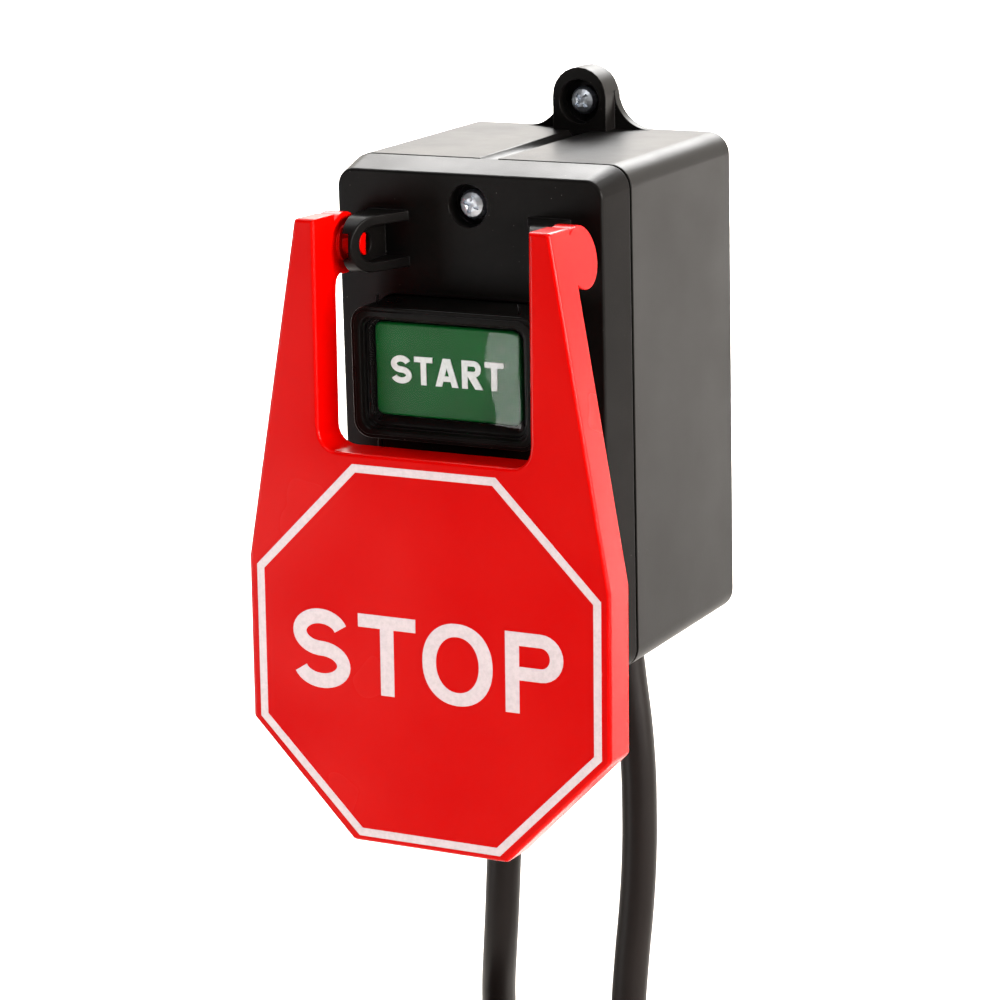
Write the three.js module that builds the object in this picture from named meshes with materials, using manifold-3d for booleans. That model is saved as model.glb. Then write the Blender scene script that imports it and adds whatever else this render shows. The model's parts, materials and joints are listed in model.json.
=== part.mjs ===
// Magnetic motor starter with a hinged STOP paddle, for a workshop machine.
// Millimetres. +X is right, +Z is up and the front faces -Y. The origin is the middle of the
// housing's wall face, so the whole starter stands in front of the plane y = 0.

import * as THREE from 'three';
import { mergeVertices } from 'three/addons/utils/BufferGeometryUtils.js';
import Module from 'manifold-3d';

const wasm = await Module();
wasm.setup();

// ---------------------------------------------------------------- driving dimensions

const GAP = 0.3;                       // between pieces that touch
const HOUSING = { width: 76, height: 125, depth: 58.9, corner: 5.6, wall: 2.6, back: 3 };
const COVER = { back: -59.8, front: -70.7, draft: 2.1, fillet: 0.8, wall: 2.4 };
const TONGUE = { inset: 1.4, front: -61.1 };
const EAR = { radius: 7.5, bossRadius: 7.5, centre: 71.1, fillet: 10, plate: 3, boss: 8.3 };
const EAR_SCREW = { height: 69.9, recess: 5.6, seat: -4.2, head: 3.6, headHeight: 2.4 };
const COVER_SCREW = { height: 52.6, recess: 5.2, seat: -66.4, head: 3.7, headHeight: 2.3 };
const GROOVE = { radius: 3.3, frontDepth: 1.2, backDepth: 2, front: -61 };

const PIVOT = { y: -80.6, z: 43.8 };
const LUG = { outer: 25.9, outerRoot: 27.5, root: 16.3, web: 22.9, radius: 6.9, rim: 2.5, hole: 2.8 };
const LUG_TIP = new Map([[-1, 23.1], [1, 24.8]]);  // the lugs aren't quite mirror images

// The paddle is drawn about its pivot: x, depth (front negative) and height.
const PADDLE_TILT = THREE.MathUtils.degToRad(1.56);
const PADDLE = {
  front: -15.1, rear: -4.8, skin: 2.6, top: 7.5, bottom: -146,
  armInner: 28.5, armTop: 34, half: 49, bottomHalf: 21.2, shoulder: -76.6, lowerCorner: -117.6,
  windowBottom: -48.5, windowCorner: 5, knuckle: 7.5, boss: 4.5, pin: 2.7,
};

const COLLAR = { width: 50, low: -3, high: 29.5, corner: 4.5, front: -86, step: 0.45 };
const SHROUD = { width: 43, low: -37, high: -2, corner: 3, front: -80.4 };
const FLANGE = { width: 57, low: -40.5, high: 33.5, front: -67.8, back: -65.6 };
const START = { width: 39.2, height: 23, z: 14.1, corner: 1.8, face: -83.5, back: -68.8 };
const STOP = { width: 34, height: 22, z: -20, corner: 1.5, face: -84.2, back: -68.8 };
const SLIDE_GAP = 0.35;
const FILM = { width: 42.8, height: 25.8, z: 13.2, front: -84.5, back: -84 };

const FRAME = { width: 48, low: -36, high: 31, front: -65.3, back: -10, wall: 2 };
const CARRIER = { half: 9, low: 5, high: 23, front: -62, back: -40.6 };
const POLES = { upper: 19, lower: 9 };
const BRIDGE = { half: 13.8, height: 5, front: -53, back: -52, tip: 11.8, tipRadius: 2, tipDepth: 0.7 };
const STRIP = { inner: 9.8, outer: 33, height: 6, front: -47.2, back: -46, tipFront: -48, screw: 28.5 };
const CORE = { half: 6, low: 0, high: 28, front: -33, back: -13, yoke: -19, leg: 4.5 };
const ARMATURE = { half: 6.5, front: -40.3, back: -36.3 };
const WINDING = { low: 5.6, high: 22.4, half: 11.5, front: -31.1, back: -20.9 };

const CORD = 9.4;                      // three-core flexible cord, outer diameter
const CORD_X = 17.2;
const CORD_Y = -22;
const GRIP = { top: -50, tip: -70 };
const WIRE = 2.6;
const LINE_CORD_ROUTE = [
  [-17.2, -22, -70.6], [-17.3, -22, -79], [-17.6, -22, -90], [-18.1, -22, -101], [-18.7, -22, -112],
  [-19.3, -22, -124], [-20.1, -21.8, -136], [-21, -21, -148], [-22, -19, -160], [-23, -15.8, -172],
  [-23.8, -12.9, -182.8],
];
const LOAD_CORD_ROUTE = [
  [17.3, -22, -71], [18.2, -22, -79], [19.4, -22, -89], [20.2, -22, -100], [20.4, -22, -112],
  [20.1, -22, -126], [19.1, -22, -140], [17.6, -22, -154], [16.2, -22, -170], [15.4, -22, -188],
  [15.6, -22, -208], [16.4, -22, -230], [17.6, -22, -254], [18.9, -22, -278], [20, -22, -302],
  [20.7, -22, -326], [21, -22, -350], [21, -22, -374],
];
const HANK = { x: -30, y: -10.9, z: -290, half: 100, fold: 29, pinch: 4.9, turns: 3, pitch: 9.7 };
const TIE = { height: 16, wall: 1.6 };
const TAIL = { x: -34.9, y: -43, top: -395.6, bottom: -411.7 };
const PLUG = { top: -412, neck: -434, face: -468, width: 27, depth: 25, corner: 8 };
const CONNECTOR = { top: -374.3, neck: -394, face: -428, width: 33, depth: 29, corner: 10 };
const BLADE = { spacing: 12.7, width: 6.3, thickness: 1.5, length: 17, groundReach: 11.9, ground: 2.4 };

// ---------------------------------------------------------------- colours

const LOOKS = {
  blackPlastic: [0x17181a, 0.55, 0],
  redPlastic: [0xd80d0a, 0.35, 0],
  greenPlastic: [0x0a5c2c, 0.4, 0],
  whitePlastic: [0xe6e3da, 0.5, 0],
  film: [0xdfe9e6, 0.1, 0],
  zinc: [0xb9bec6, 0.3, 1],
  steel: [0x8d9196, 0.4, 1],
  brass: [0xc39a4b, 0.35, 1],
  copper: [0xb8693c, 0.4, 1],
  enamelledWire: [0x8a3f1e, 0.4, 0.3],
  blackRubber: [0x131313, 0.6, 0],
  blackWire: [0x1b1b1b, 0.5, 0],
  whiteWire: [0xe9e7e2, 0.5, 0],
  greenWire: [0x1e7a3b, 0.5, 0],
  blueVinyl: [0x2d62a8, 0.5, 0],
};

function material(look) {
  const [color, roughness, metalness] = LOOKS[look];
  return new THREE.MeshStandardMaterial({ color, roughness, metalness });
}

// ---------------------------------------------------------------- solids and booleans

const MERGE_DISTANCE = 1e-4;

function signedVolume(positions, index) {
  const a = new THREE.Vector3();
  const b = new THREE.Vector3();
  const c = new THREE.Vector3();
  let total = 0;
  for (let i = 0; i < index.length; i += 3) {
    a.fromArray(positions, index[i] * 3);
    b.fromArray(positions, index[i + 1] * 3);
    c.fromArray(positions, index[i + 2] * 3);
    total += a.dot(b.cross(c));
  }
  return total / 6;
}

// A closed three.js geometry as a solid whose faces point out.
function solid(geometry) {
  const bare = geometry.clone();
  bare.deleteAttribute('normal');
  bare.deleteAttribute('uv');
  const merged = mergeVertices(bare, MERGE_DISTANCE);
  const vertProperties = new Float32Array(merged.attributes.position.array);
  const triVerts = new Uint32Array(merged.index.array);
  if (signedVolume(vertProperties, triVerts) < 0) {
    for (let i = 0; i < triVerts.length; i += 3) {
      [triVerts[i], triVerts[i + 1]] = [triVerts[i + 1], triVerts[i]];
    }
  }
  return new wasm.Manifold(new wasm.Mesh({ numProp: 3, vertProperties, triVerts }));
}

function geometryOf(manifold) {
  const { vertProperties, triVerts } = manifold.getMesh();
  const geometry = new THREE.BufferGeometry();
  geometry.setAttribute('position', new THREE.BufferAttribute(new Float32Array(vertProperties), 3));
  geometry.setIndex(new THREE.BufferAttribute(new Uint32Array(triVerts), 1));
  geometry.computeVertexNormals();
  return geometry;
}

function join(...solids) {
  return solids.reduce((sum, next) => sum.add(next));
}

function cut(base, ...tools) {
  return tools.reduce((rest, tool) => rest.subtract(tool), base);
}

// ---------------------------------------------------------------- basic shapes

const X_AXIS = new THREE.Vector3(1, 0, 0);
const Y_AXIS = new THREE.Vector3(0, 1, 0);
const Z_AXIS = new THREE.Vector3(0, 0, 1);
const BACKWARD = new THREE.Vector3(0, -1, 0);
const ROUND_STEPS = 20;                // sides of a round piece
const ARC_STEPS = 3;                   // three.js draws an arc with twice this many segments

function block(x, y, z) {
  const size = [x, y, z].map(([low, high]) => high - low);
  const middle = [x, y, z].map(([low, high]) => (low + high) / 2);
  return solid(new THREE.BoxGeometry(...size).translate(...middle));
}

// A cylinder along axis 'x', 'y' or 'z' from low to high; centre holds the other two coordinates.
function rod(axis, radius, [low, high], centre, steps = ROUND_STEPS, endRadius = radius) {
  const geometry = new THREE.CylinderGeometry(endRadius, radius, high - low, steps);
  const middle = (low + high) / 2;
  if (axis === 'x') geometry.rotateZ(-Math.PI / 2).translate(middle, centre[0], centre[1]);
  if (axis === 'y') geometry.translate(centre[0], middle, centre[1]);
  if (axis === 'z') geometry.rotateX(Math.PI / 2).translate(centre[0], centre[1], middle);
  return solid(geometry);
}

function roundedRectangle(width, height, radius, x = 0, z = 0) {
  const right = x + width / 2 - radius;
  const left = x - width / 2 + radius;
  const top = z + height / 2 - radius;
  const bottom = z - height / 2 + radius;
  const quarter = Math.PI / 2;
  const shape = new THREE.Shape();
  shape.absarc(right, top, radius, 0, quarter, false);
  shape.absarc(left, top, radius, quarter, 2 * quarter, false);
  shape.absarc(left, bottom, radius, 2 * quarter, 3 * quarter, false);
  shape.absarc(right, bottom, radius, 3 * quarter, 4 * quarter, false);
  return shape;
}

function polygon(points) {
  return new THREE.Shape(points.map(([x, y]) => new THREE.Vector2(x, y)));
}

function extrude(shape, depth, curveSegments) {
  return new THREE.ExtrudeGeometry(shape, { depth, curveSegments, bevelEnabled: false });
}

// A shape drawn in x and z, solid from yFront back to yBack.
function prismY(shape, yFront, yBack, curveSegments = ARC_STEPS) {
  const geometry = extrude(shape, yBack - yFront, curveSegments);
  geometry.applyMatrix4(new THREE.Matrix4().makeBasis(X_AXIS, Z_AXIS, BACKWARD));
  return solid(geometry.translate(0, yBack, 0));
}

// A shape drawn in y and z, solid from xLow to xHigh.
function prismX(shape, xLow, xHigh, curveSegments = 6) {
  const geometry = extrude(shape, xHigh - xLow, curveSegments);
  geometry.applyMatrix4(new THREE.Matrix4().makeBasis(Y_AXIS, Z_AXIS, X_AXIS));
  return solid(geometry.translate(xLow, 0, 0));
}

// A shape drawn in x and y, solid from zLow to zHigh.
function prismZ(shape, zLow, zHigh, curveSegments = ARC_STEPS) {
  return solid(extrude(shape, zHigh - zLow, curveSegments).translate(0, 0, zLow));
}

// Rounded rectangles of changing size, one at each depth y, skinned from front to back.
function taperedPrism(sections, cornerSteps = ARC_STEPS) {
  const rings = sections.map(({ y, width, height, radius, z = 0 }) => {
    const points = roundedRectangle(width, height, radius, 0, z).extractPoints(cornerSteps).shape;
    return points.map((point) => new THREE.Vector3(point.x, y, point.y));
  });
  const count = rings[0].length;
  const vertices = rings.flat();
  const index = [];
  for (let ring = 0; ring < rings.length - 1; ring += 1) {
    for (let i = 0; i < count; i += 1) {
      const next = (i + 1) % count;
      const near = ring * count;
      const far = near + count;
      index.push(near + i, far + i, near + next);
      index.push(near + next, far + i, far + next);
    }
  }
  const last = (rings.length - 1) * count;
  for (let i = 1; i < count - 1; i += 1) {
    index.push(0, i, i + 1);
    index.push(last, last + i + 1, last + i);
  }
  const geometry = new THREE.BufferGeometry().setFromPoints(vertices);
  geometry.setIndex(index);
  return solid(geometry);
}

// Sections of a block whose front edge is rounded by a fillet.
function filletedFront(size, yFront, fillet, steps = 3) {
  const sections = [];
  for (let step = 0; step <= steps; step += 1) {
    const angle = (step / steps) * (Math.PI / 2);
    const inset = 2 * fillet * (1 - Math.sin(angle));
    sections.push({
      ...size,
      y: yFront + fillet * (1 - Math.cos(angle)),
      width: size.width - inset,
      height: size.height - inset,
      radius: Math.max(size.radius - inset / 2, 0.4),
    });
  }
  return sections;
}

// A turned shape about a line along y or z: profile points are [radius, distance].
function turned(profile, axis, centre, steps = ROUND_STEPS) {
  const points = profile.map(([radius, along]) => new THREE.Vector2(radius, along));
  const geometry = new THREE.LatheGeometry(points, steps);
  if (axis === 'y') return solid(geometry.translate(centre[0], 0, centre[1]));
  return solid(geometry.rotateX(Math.PI / 2).translate(centre[0], centre[1], 0));
}

// A round bar bent along a curve.
function bar(curve, diameter, steps, sides) {
  const section = polygon(Array.from({ length: sides }, (_, i) => {
    const angle = (i / sides) * 2 * Math.PI;
    return [Math.cos(angle) * diameter / 2, Math.sin(angle) * diameter / 2];
  }));
  return solid(new THREE.ExtrudeGeometry(section, { steps, extrudePath: curve, bevelEnabled: false }));
}

function splineBar(route, diameter, steps, sides) {
  const curve = new THREE.CatmullRomCurve3(route.map((point) => new THREE.Vector3(...point)));
  return bar(curve, diameter, steps, sides);
}

class Helix extends THREE.Curve {
  constructor(radius, yFront, yBack, turns, z) {
    super();
    Object.assign(this, { radius, yFront, yBack, turns, z });
  }

  getPoint(t, target = new THREE.Vector3()) {
    const angle = t * this.turns * 2 * Math.PI;
    const y = this.yFront + (this.yBack - this.yFront) * t;
    return target.set(this.radius * Math.cos(angle), y, this.z + this.radius * Math.sin(angle));
  }
}

// A compression spring along y, measured over its wire.
function spring(radius, wire, yFront, yBack, turns, z, stepsPerTurn = 8) {
  const helix = new Helix(radius, yFront + wire / 2, yBack - wire / 2, turns, z);
  return bar(helix, wire, turns * stepsPerTurn, 5);
}

// ---------------------------------------------------------------- the scene graph

const starter = new THREE.Group();
starter.name = 'magnetic_starter';
const paddleGroup = new THREE.Group();
paddleGroup.position.set(0, PIVOT.y, PIVOT.z);
paddleGroup.rotation.x = -PADDLE_TILT;
starter.add(paddleGroup);

function place(name, manifold, look, parent = starter) {
  const mesh = new THREE.Mesh(geometryOf(manifold), material(look));
  mesh.name = name;
  parent.add(mesh);
}

// ---------------------------------------------------------------- housing

function housingOutline(inset, corner) {
  return roundedRectangle(HOUSING.width - 2 * inset, HOUSING.height - 2 * inset, corner);
}

function turnToBottom(geometry, bottom) {
  return bottom ? geometry.rotateY(Math.PI) : geometry;
}

// An ear: a thin plate that flares into the box's top, with a D-shaped boss in front of it.
function mountingEar(bottom) {
  const top = HOUSING.height / 2;
  const foot = top - 1.5;
  const flare = EAR.radius + EAR.fillet;
  const flareCentre = top + EAR.fillet;
  const quarter = Math.PI / 2;
  const plate = new THREE.Shape();
  plate.moveTo(-flare, foot);
  plate.lineTo(-flare, top);
  plate.absarc(-flare, flareCentre, EAR.fillet, -quarter, 0, false);
  plate.absarc(0, EAR.centre, EAR.radius, Math.PI, 0, true);
  plate.absarc(flare, flareCentre, EAR.fillet, Math.PI, 3 * quarter, false);
  plate.lineTo(flare, foot);
  const boss = new THREE.Shape();
  boss.moveTo(-EAR.bossRadius, foot);
  boss.lineTo(-EAR.bossRadius, EAR.centre);
  boss.absarc(0, EAR.centre, EAR.bossRadius, Math.PI, 0, true);
  boss.lineTo(EAR.bossRadius, foot);
  const pieces = [[plate, EAR.plate], [boss, EAR.boss]].map(([shape, depth]) => {
    const geometry = extrude(shape, depth, 6);
    geometry.applyMatrix4(new THREE.Matrix4().makeBasis(X_AXIS, Z_AXIS, BACKWARD));
    return solid(turnToBottom(geometry, bottom));
  });
  const z = bottom ? -EAR_SCREW.height : EAR_SCREW.height;
  const recess = rod('y', EAR_SCREW.recess, [-EAR.boss - 1, EAR_SCREW.seat], [0, z], 24);
  const hole = rod('y', 2.2, [EAR_SCREW.seat - 1, 1], [0, z], 16);
  return cut(join(...pieces), recess, hole);
}

// The shallow trough in the top that lets a screwdriver reach the upper ear.
function screwdriverGroove() {
  const front = -HOUSING.depth;
  const slope = (GROOVE.backDepth - GROOVE.frontDepth) / (-EAR.boss - front);
  const middle = (GROOVE.front - EAR.boss) / 2;
  const bottomHere = HOUSING.height / 2 - GROOVE.frontDepth - slope * (middle - front);
  const geometry = new THREE.CylinderGeometry(GROOVE.radius, GROOVE.radius, -EAR.boss - GROOVE.front, 32);
  geometry.rotateX(-Math.atan(slope)).translate(0, middle, bottomHere + GROOVE.radius);
  return solid(geometry);
}

function rearHousing() {
  const { depth, corner, wall, back } = HOUSING;
  const shell = prismY(housingOutline(0, corner), -depth, 0, 4);
  const tongue = prismY(housingOutline(TONGUE.inset, corner - TONGUE.inset), TONGUE.front, -depth + 1);
  const cavity = prismY(housingOutline(wall, corner - wall), TONGUE.front - 1, -back);
  let body = join(shell, tongue);
  body = cut(body, cavity, screwdriverGroove());
  for (const bottom of [false, true]) {
    const sign = bottom ? -1 : 1;
    const postAt = [0, sign * COVER_SCREW.height];
    body = join(body, mountingEar(bottom), rod('y', 4, [-57.9, -back + 0.5], postAt, 14));
    body = cut(body, rod('y', 1.7, [-60, -46], postAt, 12));
  }
  const bottomWall = [-HOUSING.height / 2 - 1, -HOUSING.height / 2 + wall + 1];
  const cordHoles = [-CORD_X, CORD_X].map((x) => rod('z', 6.2, bottomWall, [x, CORD_Y]));
  return cut(body, ...cordHoles);
}

// ---------------------------------------------------------------- front cover

function hingeLug(side) {
  const { outer, outerRoot, root, web, radius, rim, hole } = LUG;
  const tip = LUG_TIP.get(side);
  const dShape = (r, back) => {
    const shape = new THREE.Shape();
    shape.moveTo(back, PIVOT.z - r);
    shape.lineTo(back, PIVOT.z + r);
    shape.absarc(PIVOT.y, PIVOT.z, r, Math.PI / 2, 3 * Math.PI / 2, false);
    return shape;
  };
  const between = (a, b) => [Math.min(side * a, side * b), Math.max(side * a, side * b)];
  const plan = (points, low, high) => prismZ(polygon(points.map(([x, y]) => [side * x, y])), low, high);
  const body = prismX(dShape(radius, COVER.front + 1), ...between(outerRoot + 1, root));
  const front = PIVOT.y - radius;
  const wedge = plan([
    [outerRoot, COVER.front + 2], [root, COVER.front + 2], [root, COVER.front],
    [tip, front], [tip, front - 1], [outer, front - 1], [outer, front], [outerRoot, COVER.front],
  ], PIVOT.z - 2 * radius, PIVOT.z + 2 * radius);
  const recess = prismX(dShape(radius - rim, COVER.front), ...between(web, root - 1));
  const pinHole = rod('x', hole, between(root, outerRoot + 1), [PIVOT.y, PIVOT.z], 24);
  const leadIn = plan([
    [outer + 1.5, front - 1], [outer - 2.2, front - 1], [outer - 0.8, PIVOT.y - hole + 0.4],
    [outer + 1.5, PIVOT.y - hole + 0.4],
  ], PIVOT.z - 3.2, PIVOT.z + 3.2);
  return cut(body.intersect(wedge), recess, pinHole, leadIn);
}

function bezelCutout() {
  const collar = roundedRectangle(
    COLLAR.width + 2 * GAP, COLLAR.high - COLLAR.low + 2 * GAP, COLLAR.corner,
    0, (COLLAR.high + COLLAR.low) / 2,
  );
  const shroud = roundedRectangle(
    SHROUD.width + 2 * GAP, SHROUD.high - SHROUD.low + 2 * GAP, SHROUD.corner,
    0, (SHROUD.high + SHROUD.low) / 2,
  );
  const through = [COVER.front - 1, COVER.front + COVER.wall + 1];
  return join(prismY(collar, ...through), prismY(shroud, ...through));
}

function frontCover() {
  const { front, back, draft, fillet, wall } = COVER;
  const face = {
    width: HOUSING.width - 2 * draft, height: HOUSING.height - 2 * draft,
    radius: HOUSING.corner - 0.5 * draft,
  };
  const rim = { y: back, width: HOUSING.width, height: HOUSING.height, radius: HOUSING.corner };
  const shell = taperedPrism([...filletedFront(face, front, fillet), rim], 4);
  const inside = roundedRectangle(face.width - 2 * wall, face.height - 2 * wall, 3);
  const cavity = prismY(inside, front + wall, back + 1);
  const lap = prismY(housingOutline(TONGUE.inset - GAP, HOUSING.corner - 1), TONGUE.front - 0.5, back + 1);
  let body = cut(shell, cavity, lap);
  for (const sign of [-1, 1]) {
    const at = [0, sign * COVER_SCREW.height];
    body = join(body, rod('y', 6.8, [front + wall - 0.5, -58.2], at, 16));
    body = cut(
      body,
      rod('y', COVER_SCREW.recess, [front - 1, COVER_SCREW.seat], at, 24),
      rod('y', 1.8, [COVER_SCREW.seat - 1, -50], at, 12),
    );
  }
  body = cut(body, bezelCutout());
  return join(body, hingeLug(-1), hingeLug(1));
}

// ---------------------------------------------------------------- screws

// A pan head with a cross recess; the head's flat underside lies at y = seat.
function panScrew(seat, z, head, headHeight, shank, length, recessTurn, x = 0) {
  const crown = [[0, -headHeight], [head * 0.45, -headHeight * 0.96], [head * 0.8, -headHeight * 0.74],
    [head, -headHeight * 0.3], [head, 0], [shank, 0], [shank, length], [0, length]];
  const profile = crown.map(([radius, along]) => [radius, seat - GAP + along]);
  const body = turned(profile, 'y', [x, z], 16);
  const arm = head * 0.58;
  const thickness = head * 0.15;
  const wings = [0, Math.PI / 2].map((turn) => {
    const wing = new THREE.BoxGeometry(2 * arm, headHeight, 2 * thickness);
    wing.rotateY(turn + recessTurn).translate(x, seat - GAP - headHeight, z);
    return solid(wing);
  });
  return cut(body, ...wings);
}

function placeScrews() {
  for (const [name, sign, turn] of [['upper', 1, 0.35], ['lower', -1, 1.1]]) {
    const cover = COVER_SCREW;
    const ear = EAR_SCREW;
    const coverScrew = panScrew(cover.seat, sign * cover.height, cover.head, cover.headHeight, 1.45, 16, turn);
    const earScrew = panScrew(ear.seat, sign * ear.height, ear.head, ear.headHeight, 1.9, 4, turn + 0.5);
    place(`cover_screw_${name}`, coverScrew, 'zinc');
    place(`mounting_screw_${name}`, earScrew, 'zinc');
  }
}

// ---------------------------------------------------------------- bezel, film and buttons

function switchBezel() {
  const collarZ = (COLLAR.high + COLLAR.low) / 2;
  const collarHeight = COLLAR.high - COLLAR.low;
  const rimStep = 1;
  const collar = roundedRectangle(COLLAR.width, collarHeight, COLLAR.corner, 0, collarZ);
  const lip = roundedRectangle(
    COLLAR.width - 2 * rimStep, collarHeight - 2 * rimStep, COLLAR.corner - rimStep, 0, collarZ,
  );
  const shroudHeight = SHROUD.high - SHROUD.low;
  const shroud = roundedRectangle(SHROUD.width, shroudHeight, SHROUD.corner, 0, SHROUD.low + shroudHeight / 2);
  const flangeHeight = FLANGE.high - FLANGE.low;
  const flange = roundedRectangle(FLANGE.width, flangeHeight, 3, 0, FLANGE.low + flangeHeight / 2);
  const body = join(
    prismY(collar, COLLAR.front + COLLAR.step, FLANGE.front + 0.5),
    prismY(lip, COLLAR.front, FLANGE.front + 0.5),
    prismY(shroud, SHROUD.front, FLANGE.front + 0.5),
    prismY(flange, FLANGE.front, FLANGE.back),
  );
  const mouth = taperedPrism([
    { y: COLLAR.front - 0.2, width: 44.9, height: 27.9, radius: 3, z: 13.05 },
    { y: FILM.front - 0.2, width: 44, height: 27, radius: 3, z: 13.15 },
  ]);
  const filmSeat = roundedRectangle(FILM.width + 0.6, FILM.height + 0.6, 3, 0, FILM.z);
  const startHole = { width: START.width + 2 * SLIDE_GAP, height: START.height + 2 * SLIDE_GAP };
  const funnel = taperedPrism([
    { y: FILM.back + 0.2, width: 41.8, height: 25.2, radius: 2.6, z: 13.4 },
    { y: FILM.back + 1.7, ...startHole, radius: START.corner, z: START.z },
  ]);
  const startBore = roundedRectangle(startHole.width, startHole.height, START.corner, 0, START.z);
  const stopBore = roundedRectangle(
    STOP.width + 2 * SLIDE_GAP, STOP.height + 2 * SLIDE_GAP, STOP.corner, 0, STOP.z,
  );
  return cut(
    body, mouth, prismY(filmSeat, FILM.front - GAP, FILM.back + GAP), funnel,
    prismY(startBore, FILM.back, FLANGE.back + 1, 2), prismY(stopBore, SHROUD.front - 1, FLANGE.back + 1, 2),
  );
}

function buttonFilm() {
  return prismY(roundedRectangle(FILM.width, FILM.height, 2.7, 0, FILM.z), FILM.front, FILM.back);
}

// A moulded button: a hollow cap with a rounded face and a square stem behind it.
function buttonCap({ width, height, z, corner, face, back }, stemBack) {
  const size = { width, height, radius: corner, z };
  const cap = taperedPrism([...filletedFront(size, face, 0.7), { ...size, y: back }], 2);
  const wall = 1.6;
  const stemHalf = 5;
  const pocket = prismY(roundedRectangle(width - 2 * wall, height - 2 * wall, 1, 0, z), face + wall, back + 1, 1);
  const stem = block([-stemHalf, stemHalf], [face + wall - 0.5, stemBack], [z - stemHalf, z + stemHalf]);
  return join(cut(cap, pocket), stem);
}

function returnSpring(button) {
  return spring(8, 0.9, button.face + 1.6 + GAP, FRAME.front - GAP, 5, button.z);
}

// ---------------------------------------------------------------- paddle

function paddleOutline() {
  const { armInner, armTop, half, bottomHalf, shoulder, lowerCorner, top, bottom } = PADDLE;
  const { windowBottom, windowCorner } = PADDLE;
  const shape = new THREE.Shape();
  shape.moveTo(-armTop, top);
  shape.lineTo(-half, shoulder);
  shape.lineTo(-half, lowerCorner);
  shape.lineTo(-bottomHalf, bottom);
  shape.lineTo(bottomHalf, bottom);
  shape.lineTo(half, lowerCorner);
  shape.lineTo(half, shoulder);
  shape.lineTo(armTop, top);
  shape.lineTo(armInner, top);
  const arcZ = windowBottom + windowCorner;
  const arcX = armInner - windowCorner;
  shape.absarc(arcX, arcZ, windowCorner, 0, -Math.PI / 2, true);
  shape.absarc(-arcX, arcZ, windowCorner, -Math.PI / 2, -Math.PI, true);
  shape.lineTo(-armInner, top);
  return shape;
}

// The hollow behind the plate leaves a front skin and a rim all round.
function paddleHollow() {
  const { armTop, half, bottomHalf, shoulder, lowerCorner, top, bottom, windowBottom, skin } = PADDLE;
  const slope = (half - armTop) / (top - shoulder);
  const hollowTop = windowBottom - skin;
  const topHalf = armTop + (top - hollowTop) * slope - skin;
  const right = [[topHalf, hollowTop], [half - skin, shoulder], [half - skin, lowerCorner + 1.1],
    [bottomHalf - 1.1, bottom + skin]];
  const left = right.map(([x, z]) => [-x, z]).reverse();
  return prismY(polygon([...right, ...left]), PADDLE.front + skin, PADDLE.rear + 1);
}

function paddleRibs() {
  const behind = PADDLE.front + PADDLE.skin - 0.2;
  const ribBack = PADDLE.rear - 2.5;
  const padBack = PADDLE.rear - 0.7;
  const thickness = 1.8;
  const upright = [-15.5, 15.5].map((x) => block(
    [x - thickness / 2, x + thickness / 2], [behind, ribBack], [PADDLE.bottom + 1, PADDLE.windowBottom - 1],
  ));
  const crosswise = [-84, -112].map((z) => block(
    [-PADDLE.half + 1, PADDLE.half - 1], [behind, ribBack], [z - thickness / 2, z + thickness / 2],
  ));
  const pressPad = block([-8, 8], [behind, padBack], [-70, -58]);
  return [...upright, ...crosswise, pressPad];
}

// One pin, with the low round shoulder at its arm. Its rear half is ramped.
function paddlePin(side) {
  const { boss, pin, armInner } = PADDLE;
  const between = (a, b) => [Math.min(side * a, side * b), Math.max(side * a, side * b)];
  const shoulder = rod('x', boss, between(LUG.outerRoot + 0.3, armInner + 0.5), [0, 0]);
  const shaft = rod('x', pin, between(LUG.web, armInner), [0, 0], 24);
  const ramp = prismZ(polygon([
    [side * (LUG.web - 0.1), 0], [side * (LUG.web + 2.4), pin + 0.3], [side * (LUG.web - 0.1), pin + 0.3],
  ]), -5, 5);
  return join(shoulder, cut(shaft, ramp));
}

// The curved web under a knuckle, on the inner side of its arm.
function knuckleWeb(side) {
  const { armInner, rear, knuckle } = PADDLE;
  const reach = 3.3;
  const shape = new THREE.Shape();
  shape.moveTo(rear - 0.2, -knuckle - reach);
  shape.lineTo(rear, -knuckle - reach);
  shape.quadraticCurveTo(rear, -knuckle + 0.4, rear + reach, -knuckle + 0.4);
  shape.lineTo(rear + reach, -knuckle + 2);
  shape.lineTo(rear - 0.2, -knuckle + 2);
  return prismX(shape, ...[side * armInner, side * (armInner + 2.5)].sort((a, b) => a - b));
}

function paddle() {
  const outline = paddleOutline();
  const plate = cut(prismY(outline, PADDLE.front, PADDLE.rear), paddleHollow());
  const knuckles = rod('x', PADDLE.knuckle, [-45, 45], [0, 0], 40)
    .intersect(prismY(outline, PADDLE.front, PADDLE.knuckle + 1));
  const ribs = paddleRibs().map((rib) => rib.intersect(prismY(outline, PADDLE.front, PADDLE.rear)));
  const sides = [-1, 1].flatMap((side) => [knuckleWeb(side), paddlePin(side)]);
  return join(plate, knuckles, ...ribs, ...sides);
}

// ---------------------------------------------------------------- switch mechanism

const SIDES = [['line', -1], ['load', 1]];
const HEIGHTS = [['upper', POLES.upper], ['lower', POLES.lower]];

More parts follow.
